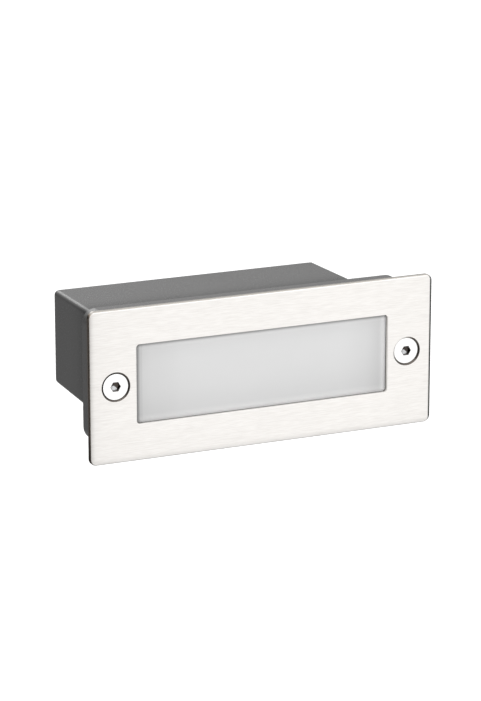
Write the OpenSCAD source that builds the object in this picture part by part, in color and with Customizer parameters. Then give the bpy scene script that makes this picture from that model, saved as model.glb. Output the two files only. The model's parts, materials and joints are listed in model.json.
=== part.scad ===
// Recessed brick wall light: a brushed steel face plate with an opal window, screwed to a stepped
// moulded housing that holds the light source, its driver and the mains terminals.
// The wall's face is the plane y = 0. The plate stands in front of it (-Y), the housing goes into
// the wall behind it (+Y), and +Z is up.

/* [Face plate] */
// Width of the face plate
plate_w = 170; // [158:1:200]
// Height of the face plate
plate_h = 71; // [69:1:84]
// Thickness of the face plate
plate_t = 2; // [1.6:0.1:3]
// Corner radius of the face plate
plate_corner_r = 3.3; // [2.5:0.1:8]
// Radius of the plate's rounded front edge
plate_edge_r = 0.8; // [0.4:0.1:1.4]
// Steel left between the window and each end of the plate
border_side = 22.7; // [22.2:0.1:28]
// Steel left above and below the window
border_top = 17.1; // [16.5:0.1:20]
// Corner radius of the window
window_corner_r = 1.5; // [1:0.5:6]
// Radius of the window's rounded front edge
window_edge_r = 0.4; // [0.2:0.1:0.8]

/* [Glass] */
// Thickness of the opal glass
glass_t = 4; // [3:0.5:6]
// How far the glass runs behind the plate at each end of the window
glass_lap_side = 3.2; // [2:0.1:3.8]
// How far the glass runs behind the plate above and below the window
glass_lap_top = 2.9; // [2.4:0.1:3.4]
// Thickness of the seal between the plate and the glass
glass_seal_t = 0.5; // [0.3:0.1:1.5]
// Distance between the two glass clips on each long side
clip_pitch = 80; // [40:1:100]

/* [Cover screws] */
// Diameter of the cover screws' thread
screw_d = 6; // [5:0.5:6.5]
// Diameter of their countersunk heads
screw_head_d = 12; // [11:0.5:12.5]
// Length of the cover screws
screw_len = 16; // [14:1:18]
// Hex socket, across its flats
socket_af = 4; // [3:0.5:5]
// Depth of the hex socket
socket_depth = 2.6; // [1.5:0.1:3]
// Diameter of the countersink in the plate's face
countersink_d = 13.8; // [13.8:0.1:14.4]
// How deep the left screw's head lies under the plate's face
left_sink = 0.4; // [0:0.05:0.6]
// How deep the right screw's head lies under the plate's face
right_sink = 0.65; // [0:0.05:0.65]

/* [Housing] */
// How far the plate covers the wall beside the housing
cover_side = 6.2; // [5.2:0.1:7.2]
// How far the plate covers the wall above and below the housing
cover_top = 4.8; // [4.5:0.1:5.6]
// Depth of the housing's wide front section behind the wall's face
front_depth = 20.9; // [19.5:0.1:28]
// Corner radius of the front section
front_corner_r = 6.5; // [4:0.1:9]
// Radius of the rounded edge round the front section's back
front_edge_r = 0.8; // [0.3:0.1:1.5]
// How far the housing steps in at each end
step_side = 10.5; // [9:0.1:12]
// How far the housing steps in above and below
step_top = 6.9; // [5.5:0.1:7.2]
// Depth of the rear box behind the step
box_depth = 65; // [56:0.1:80]
// Corner radius of the rear box
box_corner_r = 2.3; // [2:0.1:5]
// Radius of the rounded edge round the rear box's back
box_edge_r = 1; // [0.4:0.1:1.8]
// Draft of the rear box on each side, in degrees
draft_angle = 1; // [0.5:0.1:2]
// Thickness of the housing's walls
wall_t = 2.5; // [2:0.1:3]
// How far the housing's rim stands out of the wall
rim_proud = 0.8; // [0.4:0.1:2]
// Radius of the bosses that take the cover screws
boss_r = 5.2; // [5:0.1:5.6]
// Distance between the two fixing holes in the back wall
fixing_pitch = 90; // [70:1:100]
// Diameter of the fixing holes
fixing_hole_d = 4.5; // [4:0.1:6]

/* [Seals] */
// Thickness of the seal between the housing's rim and the plate
rim_seal_t = 0.8; // [0.5:0.1:2]
// How far the wall seal stays inside the plate's edge
seal_set_in = 1.5; // [1:0.1:2.5]

/* [Gear tray] */
// Thickness of the tray
tray_t = 2; // [1.5:0.1:3]
// Room between the light board's long sides and the tray screws' heads
board_room = 3.2; // [2.8:0.1:6]
// Thickness of the light board
board_t = 1.6; // [1:0.1:2]
// Distance between neighbouring light sources in a row
led_pitch = 10; // [6:0.5:15]
// Thickness of the reflector's wall
reflector_t = 1.5; // [1:0.1:2]

/* [Driver] */
// Length of the driver's case
driver_l = 50; // [40:1:62]
// Height of the driver's case
driver_h = 26; // [22:1:36]
// Depth of the driver's case
driver_depth = 22; // [20:1:32]
// Diameter of the mains leads
mains_lead_d = 2.2; // [1.6:0.1:2.6]
// Diameter of the low voltage leads
led_lead_d = 1.6; // [1.2:0.1:1.8]

/* [Terminal block] */
// Distance between the two poles
pole_pitch = 10; // [9:0.1:12]
// Depth of the terminal block
terminal_depth = 16; // [14:0.5:20]
// Height of the terminal block
terminal_h = 18; // [17:0.5:22]

/* [Cable gland] */
// Diameter of the gland's thread
gland_d = 16; // [15:0.5:18]
// Bore of the rubber sleeve that grips the cable
cable_bore_d = 8.4; // [6:0.1:9]
// Gland's hexagons, across their flats
gland_af = 22; // [22:0.5:27]
// How far the gland stands out behind the housing
gland_reach = 20; // [18:0.5:26]

/* [Hidden] */
$fn = 48;

// How far a cut runs past what it cuts
over = 1;
// Thickness of the thin end slices that a tapered form is stretched between
slice_t = 0.1;
// Steps in a small rounded edge, and in a lead's bend
edge_steps = 4;
bend_steps = 12;

// Clearances: round pieces that seat in holes, threads, pieces that drop in, soft pieces
seat_gap = 0.05;
thread_gap = 0.05;
drop_gap = 0.5;
soft_gap = 0.25;

// Planes, front to back
rim_y = -rim_proud;
plate_back_y = rim_y - rim_seal_t;
plate_y = plate_back_y - plate_t;
glass_y = plate_back_y + glass_seal_t;
glass_back_y = glass_y + glass_t;
step_floor_y = front_depth - wall_t;
tray_y = step_floor_y - tray_t;
board_y = tray_y - board_t;
box_back_y = front_depth + box_depth;
back_floor_y = box_back_y - wall_t;

// Plate and window
window_w = plate_w - 2 * border_side;
window_h = plate_h - 2 * border_top;

// Housing
front_w = plate_w - 2 * cover_side;
front_h = plate_h - 2 * cover_top;
front_inner_w = front_w - 2 * wall_t;
front_inner_h = front_h - 2 * wall_t;
front_inner_r = front_corner_r - wall_t;
box_w = front_w - 2 * step_side;
box_h = front_h - 2 * step_top;
box_inner_r = 1;
back_w = box_w - 2 * box_depth * tan(draft_angle);
back_h = box_h - 2 * box_depth * tan(draft_angle);

// Cover screws, their bosses and inserts
boss_set_in = 1.35;
screw_x = front_w / 2 - boss_r - boss_set_in;
screw_r = screw_d / 2;
screw_head_r = screw_head_d / 2;
screw_land = 0.2;
screw_tip = 0.8;
insert_wall = 1.15;
insert_r = screw_r + thread_gap + insert_wall;
insert_len = 10;
insert_y = 1;
insert_waist = 0.3;
insert_band = 3;
pocket_r = insert_r + seat_gap;
pocket_end_y = insert_y + insert_len + seat_gap;
tip_hole_end_y = plate_y + right_sink + screw_len + over;

// Glass and its clips
glass_w = window_w + 2 * glass_lap_side;
glass_h = window_h + 2 * glass_lap_top;
glass_r = 1.5;
seal_lip = 1;
clip_t = 0.6;
clip_w = 8;
clip_gap = 0.15;
clip_grip = 1.8;
stud_r = 1;
stud_len = 3;
nut_af = 4;
nut_t = 1.6;
riser_z = glass_h / 2 + clip_gap;
stud_z = riser_z + clip_t + clip_gap + nut_af / 2;
foot_end_z = stud_z + nut_af / 2;

// Pillars in the rear box's corners, which the tray is screwed to
pillar_r = 3.4;
pillar_set_in = 0.3;
pillar_x = back_w / 2 - pillar_r - pillar_set_in;
pillar_z = back_h / 2 - pillar_r - pillar_set_in;

// Small screws: radius, head radius and head height
m3_r = 1.5;
m3_head_r = 2.8;
m3_head_t = 2;
m25_r = 1.25;
m25_head_r = 2.1;
m25_head_t = 1.4;
hole_gap = 0.2;
tip_gap = 0.3;
tray_screw_len = 12;

// Fixing pads on the back wall's inside
pad_r = 5;
pad_t = 1.5;

// Tray, with an open notch round each boss
tray_w = front_inner_w - 2 * drop_gap;
tray_h = front_inner_h - 2 * drop_gap;
tray_r = front_inner_r;
notch_r = boss_r + drop_gap;

// Reflector: a funnel from the light board to just behind the glass
mouth_gap = 1.5;
mouth_margin = 0.6;
mouth_y = glass_back_y + mouth_gap;
mouth_w = window_w + 2 * mouth_margin;
mouth_h = window_h + 2 * mouth_margin;
mouth_r = 3;
flange_t = 1.5;
flange_lap = 2;
flange_w = 2 * (screw_x - boss_r - drop_gap);

// Light board, inside the reflector's foot
board_set_in = 4.3;
board_w = window_w - 2 * board_set_in;
board_h = 2 * (pillar_z - m3_head_r - board_room);
board_r = 1;
foot_w = board_w + 2 * drop_gap;
foot_h = board_h + 2 * drop_gap;
foot_r = board_r + drop_gap;
board_screw_x = board_w / 2 - 2 * m25_head_r;
board_screw_share = 0.33;
board_screw_z = board_h * board_screw_share;
reflector_screw_x = flange_w / 2 - m25_head_r - drop_gap;
reflector_screw_z = foot_h / 2 + flange_lap - m25_head_r - drop_gap;

// Low voltage leads: through a bush in the tray and a hole in the board to the connector
led_lead_r = led_lead_d / 2;
lead_gap = 2.5;
bush_bore_r = lead_gap / 2 + led_lead_r + hole_gap;
bush_r = bush_bore_r + 0.7 * led_lead_d;
bush_flange_r = bush_r + led_lead_r;
bush_flange_t = 1;
lead_x = -board_w / 2 + bush_bore_r + 2 * drop_gap;
connector_l = 6;
connector_h = 5.4;
connector_t = 4;
connector_run = 8;
connector_x = lead_x + connector_run;
socket_in = 1;
led_lead_y = board_y - connector_t / 2;
lead_turn = 2.2;

// Light sources: two rows, beyond the connector at one end and as far in at the other
led_w = 3.5;
led_h = 2.8;
led_t = 0.8;
led_dome_r = 1.1;
led_dome_depth = 0.2;
led_row_share = 0.3;
led_row_z = board_h * led_row_share;
led_run = -2 * (connector_x + connector_l + led_w / 2 + 2 * drop_gap);
led_count = floor(led_run / led_pitch) + 1;

// Driver: behind the tray, beside the bush
ear_l = 6;
ear_h = 10;
ear_t = 2;
ear_gap = 0.4;
driver_x0 = lead_x + bush_flange_r + ear_gap + ear_l;
driver_x1 = driver_x0 + driver_l;
driver_r = 1.5;
driver_lid_t = 1.2;
driver_lid_lip = 1;
driver_out_depth = 13;
driver_in_depth = 10;
driver_in_gap = 6;
driver_in_z = 9;
driver_out_y = step_floor_y + driver_out_depth;
driver_in_y = step_floor_y + driver_in_depth;

// Terminal block: beyond the driver's other ear
terminal_run = 3.5;
barrel_r = 2.6;
barrel_margin = 2.5;
barrel_bore_r = 0.9;
terminal_cheek = 2;
terminal_w = pole_pitch + 2 * (barrel_r + terminal_cheek);
terminal_x = driver_x1 + ear_l + terminal_run + terminal_w / 2;
terminal_r = 0.8;
pole_depth = 6.5;
pole_y = step_floor_y + pole_depth;
mains_lead_r = mains_lead_d / 2;
wire_hole_r = mains_lead_r + hole_gap;
barrel_len = terminal_h - 2 * barrel_margin;
clamp_r = 1.4;
clamp_head_r = 1.9;
clamp_z = 3.8;
clamp_sink = 1.5;
mains_reach = 9;
mains_rise_share = 0.7;
mains_rise = mains_rise_share * (back_h / 2 - wall_t);

// Cable gland in the middle of the back wall
gland_r = gland_d / 2;
gland_hole_r = gland_r + hole_gap;
gland_washer_t = 1;
gland_flange_t = 5;
gland_wall = 1.4;
gland_hex_r = gland_af / 2 / cos(30);
locknut_t = 3.5;
shank_in = 1.5;
cap_wall = 2.2;
cap_gap = 0.5;
cap_end_t = 2;
cap_mouth_gap = 1;
gland_flange_y = box_back_y + gland_washer_t;
gland_neck_y = gland_flange_y + gland_flange_t;
gland_end_y = box_back_y + gland_reach;
cap_y = gland_neck_y + cap_gap;
sleeve_end_y = gland_end_y - cap_end_t;
sleeve_len = 8.5;
sleeve_y = sleeve_end_y - sleeve_len;
neck_end_y = sleeve_end_y - cap_gap;

steel = "gainsboro";
dark_rubber = "dimgray";
grey_moulding = [0.42, 0.42, 0.42];

// Places a shape at a point, with its own Z running into the wall, or out of it
module into_wall(x, y, z) translate([x, y, z]) rotate([-90, 0, 0]) children();
module out_of_wall(x, y, z) translate([x, y, z]) rotate([90, 0, 0]) children();

// Cylinder along Y from y to y_end
module rod(x, y, z, r, y_end) into_wall(x, y, z) cylinder(h = y_end - y, r = r);

// Rectangle with true round corners
module rounded_rect(w, h, r) {
    square([w - 2 * r, h], center = true);
    square([w, h - 2 * r], center = true);
    for (x = [-1, 1], z = [-1, 1])
        translate([x * (w / 2 - r), z * (h / 2 - r)]) circle(r);
}

// Slab from y to y_end, centred on the light
module slab(w, h, r, y, y_end) into_wall(0, y, 0) linear_extrude(y_end - y) rounded_rect(w, h, r);

// Quarter of a round edge about a centre, from one angle to the next
function arc(cx, cy, r, from, to) =
    [for (i = [0 : edge_steps]) let (a = from + (to - from) * i / edge_steps)
        [cx + r * cos(a), cy + r * sin(a)]];

// Block with round corners whose rim follows the profile drawn outwards from the corner's axis.
// Its depth runs along Z from z0 to z1, and profile's second coordinate is that depth.
module rim_block(w, h, r, z0, z1, profile) {
    side_w = w - 2 * r;
    side_h = h - 2 * r;
    translate([-side_w / 2, -side_h / 2, z0]) cube([side_w, side_h, z1 - z0]);
    for (turn = [0 : 3]) rotate(90 * turn) {
        long = turn % 2 == 0 ? side_w : side_h;
        out = (turn % 2 == 0 ? side_h : side_w) / 2;
        translate([0, out, 0]) rotate([90, 0, 90]) linear_extrude(long, center = true)
            polygon(profile);
        translate([long / 2, out, 0]) rotate_extrude(angle = 90) polygon(profile);
    }
}

// Screw with its shank along +Z from its seat and a crossed recess in its head
module pan_screw(r, head_r, head_t, len) difference() {
    union() {
        cylinder(h = len, r = r);
        translate([0, 0, -head_t]) cylinder(h = head_t, r1 = 0.8 * head_r, r2 = head_r);
    }
    for (turn = [0, 90]) rotate(turn)
        translate([-head_r / 2, -head_r / 10, -head_t - over])
            cube([head_r, head_r / 5, head_t / 2 + over]);
}

// Tube of a few flat sides along stations of [point, direction]; ref is never along the tube
function unit(v) = v / norm(v);
function ring(station, r, sides, ref) =
    let (u = unit(cross(station[1], ref)), v = unit(cross(station[1], u)))
    [for (k = [0 : sides - 1]) let (a = 360 * k / sides) station[0] + r * (cos(a) * u + sin(a) * v)];
function bend(p0, p1, p2, p3, first) =
    [for (i = [first : bend_steps]) let (t = i / bend_steps, s = 1 - t) [
        s * s * s * p0 + 3 * s * s * t * p1 + 3 * s * t * t * p2 + t * t * t * p3,
        s * s * (p1 - p0) + 2 * s * t * (p2 - p1) + t * t * (p3 - p2)
    ]];
module tube(stations, r, ref) {
    sides = 8;
    last = len(stations) - 1;
    points = [for (s = stations) each ring(s, r, sides, ref)];
    walls = [for (i = [0 : last - 1], k = [0 : sides - 1])
        let (n = (k + 1) % sides, a = i * sides + k, b = i * sides + n)
        each [[a, b, a + sides], [b, b + sides, a + sides]]];
    caps = [for (k = [1 : sides - 2]) each [
        [0, k + 1, k], [last * sides, last * sides + k, last * sides + k + 1]]];
    polyhedron(points, concat(walls, caps));
}

// Face plate: round edges, window, countersinks, and the welded studs that carry the glass clips
plate_rim = concat([[0, 0]],
    arc(plate_corner_r - plate_edge_r, plate_edge_r, plate_edge_r, -90, 0),
    [[plate_corner_r, plate_t], [0, plate_t]]);
window_rim = concat([[0, -over], [window_corner_r + window_edge_r, -over]],
    arc(window_corner_r + window_edge_r, window_edge_r, window_edge_r, -90, -180),
    [[window_corner_r, plate_t + over], [0, plate_t + over]]);
module face_plate() color(steel) {
    difference() {
        into_wall(0, plate_y, 0)
            rim_block(plate_w, plate_h, plate_corner_r, 0, plate_t, plate_rim);
        into_wall(0, plate_y, 0)
            rim_block(window_w, window_h, window_corner_r, -over, plate_t + over, window_rim);
        for (x = [-screw_x, screw_x]) into_wall(x, plate_y - over, 0)
            cylinder(h = plate_t + 2 * over, r1 = countersink_d / 2 + over,
                r2 = countersink_d / 2 - plate_t - over);
    }
    for (x = [-1, 1], z = [-1, 1])
        rod(x * clip_pitch / 2, plate_back_y, z * stud_z, stud_r, plate_back_y + stud_len);
}

module glass() color([0.86, 0.87, 0.87]) slab(glass_w, glass_h, glass_r, glass_y, glass_back_y);

module glass_seal() color(dark_rubber) difference() {
    slab(glass_w, glass_h, glass_r, plate_back_y, glass_y);
    slab(window_w + 2 * seal_lip, window_h + 2 * seal_lip, window_corner_r,
        plate_back_y - over, glass_y + over);
}

// Z-shaped clip: a foot on the stud, a riser beside the glass and a lip behind it
module glass_clip() difference() {
    union() {
        translate([-clip_w / 2, plate_back_y, riser_z])
            cube([clip_w, clip_t, foot_end_z - riser_z]);
        translate([-clip_w / 2, plate_back_y, riser_z])
            cube([clip_w, glass_back_y + clip_t - plate_back_y, clip_t]);
        translate([-clip_w / 2, glass_back_y, glass_h / 2 - clip_grip])
            cube([clip_w, clip_t, riser_z + clip_t - glass_h / 2 + clip_grip]);
    }
    rod(0, plate_back_y - over, stud_z, stud_r + seat_gap, plate_back_y + clip_t + over);
}
module at_studs() for (x = [-1, 1], side = [0, 1])
    translate([x * clip_pitch / 2, 0, 0]) mirror([0, 0, side]) children();
module glass_clips() color("silver") at_studs() glass_clip();
module clip_nuts() color("silver") at_studs() translate([0, plate_back_y + clip_t, stud_z])
    rotate([-90, 0, 0]) difference() {
        cylinder(h = nut_t, r = nut_af / 2 / cos(30), $fn = 6);
        translate([0, 0, -over]) cylinder(h = nut_t + 2 * over, r = stud_r + thread_gap);
    }

// Countersunk cover screw with a hex socket, its head sunk a little under the plate's face
module cover_screw(x, sink) {
    cone_end = screw_land + screw_head_r - screw_r;
    into_wall(x, plate_y + sink, 0) difference() {
        rotate_extrude() polygon([
            [0, 0], [screw_head_r, 0], [screw_head_r, screw_land], [screw_r, cone_end],
            [screw_r, screw_len - screw_tip], [screw_r - screw_tip, screw_len], [0, screw_len]
        ]);
        translate([0, 0, -over])
            cylinder(h = socket_depth + over, r = socket_af / 2 / cos(30), $fn = 6);
    }
}
module cover_screw_left() color("white") cover_screw(-screw_x, left_sink);
module cover_screw_right() color("white") cover_screw(screw_x, right_sink);

// Rear box at one depth: a thin slice of its drafted outline, set in on every side
module box_slice(inset, r, y) {
    shrink = inset + (y - front_depth) * tan(draft_angle);
    slab(box_w - 2 * shrink, box_h - 2 * shrink, r, y, y + slice_t, $fn = 32);
}
module box_form(inset, r, y, y_end) hull() {
    box_slice(inset, r, y);
    box_slice(inset, r, y_end - slice_t);
}
// The same form with its back edge rounded off
module box_skin(y, y_end) hull() {
    box_slice(0, box_corner_r, y);
    for (p = arc(0, y_end - box_edge_r, box_edge_r - slice_t, 0, 90))
        let (inset = box_edge_r - slice_t - p.x) box_slice(inset, box_corner_r - inset, p.y);
}

// Stepped housing in one moulding: screw bosses in the front section, pillars in the rear box
front_rim = concat([[0, 0], [front_corner_r, 0]],
    arc(front_corner_r - front_edge_r, front_depth - rim_y - front_edge_r, front_edge_r, 0, 90),
    [[0, front_depth - rim_y]]);
module housing() color(grey_moulding) difference() {
    union() {
        difference() {
            union() {
                into_wall(0, rim_y, 0)
                    rim_block(front_w, front_h, front_corner_r, 0, front_depth - rim_y, front_rim);
                box_skin(front_depth - wall_t / 2, box_back_y);
            }
            slab(front_inner_w, front_inner_h, front_inner_r, rim_y - over, step_floor_y);
            box_form(wall_t, box_inner_r, step_floor_y - over, back_floor_y);
        }
        for (x = [-1, 1]) {
            rod(x * screw_x, rim_y, 0, boss_r, step_floor_y + wall_t / 2);
            rod(x * fixing_pitch / 2, back_floor_y - pad_t, 0, pad_r, back_floor_y + wall_t / 2);
            for (z = [-1, 1])
                rod(x * pillar_x, step_floor_y, z * pillar_z, pillar_r, back_floor_y + wall_t / 2);
        }
    }
    for (x = [-1, 1]) {
        rod(x * screw_x, rim_y - over, 0, pocket_r, pocket_end_y);
        rod(x * screw_x, insert_y, 0, screw_r + hole_gap, tip_hole_end_y);
        rod(x * fixing_pitch / 2, back_floor_y - pad_t - over, 0, fixing_hole_d / 2,
            box_back_y + over);
        for (z = [-1, 1])
            rod(x * pillar_x, step_floor_y - over, z * pillar_z, m3_r + thread_gap,
                step_floor_y + tray_screw_len);
    }
    rod(0, back_floor_y - over, 0, gland_hole_r, box_back_y + over);
}

// Foam ring round the housing's rim, between the wall and the plate
module wall_seal() color(dark_rubber) difference() {
    slab(plate_w - 2 * seal_set_in, plate_h - 2 * seal_set_in, plate_corner_r / 2, plate_back_y, 0);
    slab(front_w + 2 * soft_gap, front_h + 2 * soft_gap, front_corner_r + soft_gap,
        plate_back_y - over, over);
}

// Flat seal on the housing's rim, with an eye round each cover screw
module rim_seal() color(dark_rubber) {
    eye_r = countersink_d / 2 - plate_t + 3 * seat_gap;
    difference() {
        union() {
            difference() {
                slab(front_w, front_h, front_corner_r, plate_back_y, rim_y);
                slab(front_inner_w, front_inner_h, front_inner_r, plate_back_y - over, rim_y + over);
            }
            for (x = [-1, 1])
                rod(x * screw_x, plate_back_y, 0, boss_r + 2 * drop_gap, rim_y);
        }
        for (x = [-1, 1])
            rod(x * screw_x, plate_back_y - over, 0, eye_r, rim_y + over);
        // Cuts each eye back to the housing's end
        for (x = [-1, 1]) translate([x * (front_w / 2 + over), (plate_back_y + rim_y) / 2, 0])
            cube([2 * over, rim_seal_t + 2 * over, 3 * boss_r], center = true);
    }
}

// Brass insert with two grip bands
module threaded_insert(x) color("darkgoldenrod") difference() {
    union() {
        rod(x, insert_y, 0, insert_r - insert_waist, insert_y + insert_len);
        rod(x, insert_y, 0, insert_r, insert_y + insert_band);
        rod(x, insert_y + insert_len - insert_band, 0, insert_r, insert_y + insert_len);
    }
    rod(x, insert_y - over, 0, screw_r + thread_gap, insert_y + insert_len + over);
}
module threaded_insert_left() threaded_insert(-screw_x);
module threaded_insert_right() threaded_insert(screw_x);

module gear_tray() color("lightgray") difference() {
    slab(tray_w, tray_h, tray_r, tray_y, step_floor_y);
    for (x = [-1, 1]) {
        rod(x * screw_x, tray_y - over, 0, notch_r, step_floor_y + over);
        translate([x * (screw_x + notch_r), (tray_y + step_floor_y) / 2, 0])
            cube([2 * notch_r, tray_t + 2 * over, 2 * notch_r], center = true);
        for (z = [-1, 1]) {
            tray_hole(x * pillar_x, z * pillar_z, m3_r + hole_gap);
            tray_hole(x * board_screw_x, z * board_screw_z, m25_r + thread_gap);
            tray_hole(x * reflector_screw_x, z * reflector_screw_z, m25_r + thread_gap);
        }
    }
    for (x = [driver_x0 - ear_l / 2, driver_x1 + ear_l / 2]) tray_hole(x, 0, m3_r + thread_gap);
    tray_hole(terminal_x, 0, m25_r + thread_gap);
    tray_hole(lead_x, 0, bush_r + seat_gap);
}
module tray_hole(x, z, r) rod(x, tray_y - over, z, r, step_floor_y + over);

module tray_screws() color("silver") for (x = [-1, 1], z = [-1, 1])
    into_wall(x * pillar_x, tray_y, z * pillar_z)
        pan_screw(m3_r, m3_head_r, m3_head_t, tray_t + tray_screw_len - tip_gap);

module light_board() color("white") difference() {
    slab(board_w, board_h, board_r, board_y, tray_y);
    for (x = [-1, 1], z = [-1, 1])
        rod(x * board_screw_x, board_y - over, z * board_screw_z, m25_r + hole_gap, tray_y + over);
    rod(lead_x, board_y - over, 0, bush_bore_r, tray_y + over);
}

module light_source() difference() {
    translate([-led_w / 2, board_y - led_t, -led_h / 2]) cube([led_w, led_t, led_h]);
    rod(0, board_y - led_t - over, 0, led_dome_r, board_y - led_t + led_dome_depth);
}
module light_sources() color("khaki")
    for (i = [0 : led_count - 1], row = [-1, 1])
        translate([(i - (led_count - 1) / 2) * led_pitch, 0, row * led_row_z])
            light_source();

module board_screws() color("silver") for (x = [-1, 1], z = [-1, 1])
    into_wall(x * board_screw_x, board_y, z * board_screw_z)
        pan_screw(m25_r, m25_head_r, m25_head_t, board_t + tray_t - tip_gap);

module board_connector() color("ivory") difference() {
    translate([connector_x, board_y - connector_t, -connector_h / 2])
        cube([connector_l, connector_t, connector_h]);
    for (z = [-1, 1]) translate([connector_x - over, led_lead_y, z * lead_gap / 2])
        rotate([0, 90, 0]) cylinder(h = socket_in + over, r = led_lead_r + seat_gap);
}

// Funnel, open at both ends, with a flange at each end of its foot
module funnel(grow, y_from, y_to) {
    function at(y, foot, mouth) = foot + (mouth - foot) * (tray_y - y) / (tray_y - mouth_y);
    hull() for (y = [y_from, y_to - slice_t])
        slab(at(y, foot_w, mouth_w) + 2 * grow, at(y, foot_h, mouth_h) + 2 * grow,
            at(y, foot_r, mouth_r) + grow, y, y + slice_t, $fn = 32);
}
module reflector() color("white") difference() {
    union() {
        funnel(reflector_t, mouth_y, tray_y);
        slab(flange_w, foot_h + 2 * flange_lap, foot_r, tray_y - flange_t, tray_y);
    }
    funnel(0, mouth_y - over, tray_y + over);
    for (x = [-1, 1], z = [-1, 1])
        rod(x * reflector_screw_x, tray_y - flange_t - over, z * reflector_screw_z,
            m25_r + hole_gap, tray_y + over);
}
module reflector_screws() color("silver") for (x = [-1, 1], z = [-1, 1])
    into_wall(x * reflector_screw_x, tray_y - flange_t, z * reflector_screw_z)
        pan_screw(m25_r, m25_head_r, m25_head_t, flange_t + tray_t - tip_gap);

// Rubber bush that carries the two low voltage leads through the tray
module lead_bush() color(dark_rubber) difference() {
    union() {
        rod(lead_x, tray_y, 0, bush_r, step_floor_y);
        rod(lead_x, step_floor_y, 0, bush_flange_r, step_floor_y + bush_flange_t);
    }
    rod(lead_x, tray_y - over, 0, bush_bore_r, step_floor_y + bush_flange_t + over);
}

// Driver's case with a screw ear at each end
module driver_case() color("whitesmoke") difference() {
    union() {
        translate([(driver_x0 + driver_x1) / 2, 0, 0])
            slab(driver_l, driver_h, driver_r, step_floor_y, step_floor_y + driver_depth);
        translate([driver_x0 - ear_l, step_floor_y, -ear_h / 2])
            cube([driver_l + 2 * ear_l, ear_t, ear_h]);
    }
    for (x = [driver_x0 - ear_l / 2, driver_x1 + ear_l / 2])
        rod(x, step_floor_y - over, 0, m3_r + hole_gap, step_floor_y + ear_t + over);
}
module driver_lid() color("lightgray") translate([(driver_x0 + driver_x1) / 2, 0, 0])
    slab(driver_l - 2 * driver_lid_lip, driver_h - 2 * driver_lid_lip, driver_r / 2,
        step_floor_y + driver_depth, step_floor_y + driver_depth + driver_lid_t);
module driver_screws() color("silver") for (x = [driver_x0 - ear_l / 2, driver_x1 + ear_l / 2])
    out_of_wall(x, step_floor_y + ear_t, 0)
        pan_screw(m3_r, m3_head_r, m3_head_t, ear_t + tray_t - tip_gap);

// Two-pole terminal block: wire holes up and down, clamp screws reached from behind
pole_places = [terminal_x - pole_pitch / 2, terminal_x + pole_pitch / 2];
terminal_back_y = step_floor_y + terminal_depth;
module terminal_block() color("ivory") difference() {
    translate([terminal_x, 0, 0])
        slab(terminal_w, terminal_h, terminal_r, step_floor_y, terminal_back_y);
    for (x = pole_places) translate([x, pole_y, 0]) {
        cylinder(h = terminal_h + 2 * over, r = wire_hole_r, center = true);
        cylinder(h = barrel_len + 2 * seat_gap, r = barrel_r + seat_gap, center = true);
    }
    for (x = pole_places, z = [-1, 1])
        rod(x, pole_y, z * clamp_z, clamp_head_r + seat_gap, terminal_back_y + over);
    rod(terminal_x, step_floor_y - over, 0, m25_r + hole_gap, terminal_back_y + over);
}
module terminal_barrels() color("darkgoldenrod") for (x = pole_places) difference() {
    translate([x, pole_y, 0]) cylinder(h = barrel_len, r = barrel_r, center = true);
    translate([x, pole_y, 0]) cylinder(h = barrel_len + 2 * over, r = barrel_bore_r, center = true);
    for (z = [-1, 1]) rod(x, pole_y, z * clamp_z, clamp_r + thread_gap, pole_y + barrel_r + over);
}
// Slotted clamp screw, drawn from its tip on the wire to its head
module clamp_screw(x, z) {
    tip_y = pole_y + barrel_bore_r + seat_gap;
    neck_y = pole_y + barrel_r + seat_gap;
    head_y = terminal_back_y - clamp_sink;
    difference() {
        union() {
            rod(x, tip_y, z, clamp_r, neck_y);
            rod(x, neck_y, z, clamp_head_r, head_y);
        }
        translate([x - clamp_head_r - over, head_y - clamp_head_r / 2, z - clamp_head_r / 8])
            cube([2 * (clamp_head_r + over), clamp_head_r, clamp_head_r / 4]);
    }
}
module terminal_screws() color("silver") for (x = pole_places, z = [-1, 1])
    clamp_screw(x, z * clamp_z);
module terminal_fixing_screw() color("silver") out_of_wall(terminal_x, terminal_back_y, 0)
    pan_screw(m25_r, m25_head_r, m25_head_t, terminal_depth + tray_t - tip_gap);

// Mains leads, from the driver's end up, over and down into the terminals
module mains_lead(pole, exit_y) {
    from = [driver_x1, exit_y, driver_in_z];
    to = [pole_places[pole], pole_y, barrel_len / 2];
    tube(bend(from, from + [mains_reach, 0, 0], to + [0, 0, mains_rise], to, 0),
        mains_lead_r, [0, 1, 0]);
}
module live_lead() color("saddlebrown") mains_lead(1, driver_in_y + driver_in_gap);
module neutral_lead() color("steelblue") mains_lead(0, driver_in_y);

// Low voltage leads, from the driver's other end through the tray and round to the connector
module led_lead(z) {
    exit = [driver_x0, driver_out_y, z];
    bush = [lead_x, step_floor_y + bush_flange_t, z];
    front = [lead_x, board_y, z];
    end = [connector_x + socket_in, led_lead_y, z];
    tube(concat(
        bend(exit, exit - [driver_x0 - lead_x, 0, 0], bush + [0, driver_out_y - bush.y, 0] / 2,
            bush, 0),
        bend(front, front - [0, lead_turn, 0], end - [connector_run / 2, 0, 0], end, 0)
    ), led_lead_r, [0, 0, 1]);
}
module positive_lead() color("firebrick") led_lead(lead_gap / 2);
module negative_lead() color([0.12, 0.12, 0.12]) led_lead(-lead_gap / 2);

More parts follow.
